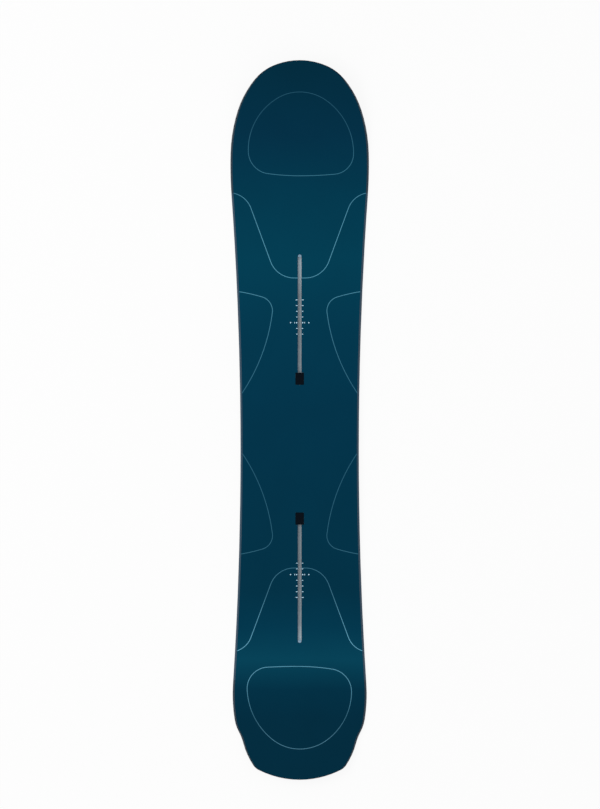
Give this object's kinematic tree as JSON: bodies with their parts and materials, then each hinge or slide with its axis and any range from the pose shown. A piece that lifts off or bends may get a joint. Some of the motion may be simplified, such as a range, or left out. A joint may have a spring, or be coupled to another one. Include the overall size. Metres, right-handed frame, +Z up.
{
  "type": "snowboard",
  "caption": "Directional snowboard: cambered wood-core laminate with steel edges, an upturned round nose, a narrowed tail and slotted binding channels with lift-out plugs.",
  "frame": {"origin": "mid length and mid width of the board, on the ground it stands on unloaded", "axes": "+X to the board's right seen from above with the nose forward, +Y along the board to the nose, +Z up through the deck"},
  "size_m": [0.3084, 1.6, 0.0618],
  "materials": {
    "topsheet_plastic": "satin teal-navy with pale printed lines",
    "sintered_base": "black sintered base, stone ground",
    "edge_steel": "ground steel",
    "damping_rubber": "matt",
    "glass_laminate": "cured glass and resin",
    "light_wood": "planed light wood, lengthwise grain",
    "hard_wood": "planed beech, lengthwise grain",
    "sidewall_plastic": "milled dark grey",
    "filler_plastic": "milled dark grey",
    "channel_plastic": "moulded grey, slightly glossy",
    "end_stop_plastic": "pale translucent",
    "plug_plastic": "moulded black"
  },
  "bodies": {
    "board": {"base_sheet": "sintered_base", "edge_left": "edge_steel", "edge_right": "edge_steel", "edge_foil_left": "damping_rubber", "edge_foil_right": "damping_rubber", "lower_glass": "glass_laminate", "core_center": "light_wood", "core_stringer_left": "hard_wood", "core_stringer_right": "hard_wood", "core_field_left": "light_wood", "core_field_right": "light_wood", "sidewall_left": "sidewall_plastic", "sidewall_right": "sidewall_plastic", "nose_filler": "filler_plastic", "tail_filler": "filler_plastic", "front_channel_mat": "glass_laminate", "rear_channel_mat": "glass_laminate", "front_channel_rail": "channel_plastic", "rear_channel_rail": "channel_plastic", "front_channel_end_stop": "end_stop_plastic", "rear_channel_end_stop": "end_stop_plastic", "upper_glass": "glass_laminate", "topsheet": "topsheet_plastic"},
    "front_plug": {"front_channel_plug": "plug_plastic"},
    "rear_plug": {"rear_channel_plug": "plug_plastic"}
  },
  "joints": [
    {"name": "front_plug_lift", "type": "slide", "parent": "board", "child": "front_plug", "axis": [0, 0, 1], "range_m": [0, 0.02]},
    {"name": "rear_plug_lift", "type": "slide", "parent": "board", "child": "rear_plug", "axis": [0, 0, 1], "range_m": [0, 0.02]}
  ]
}
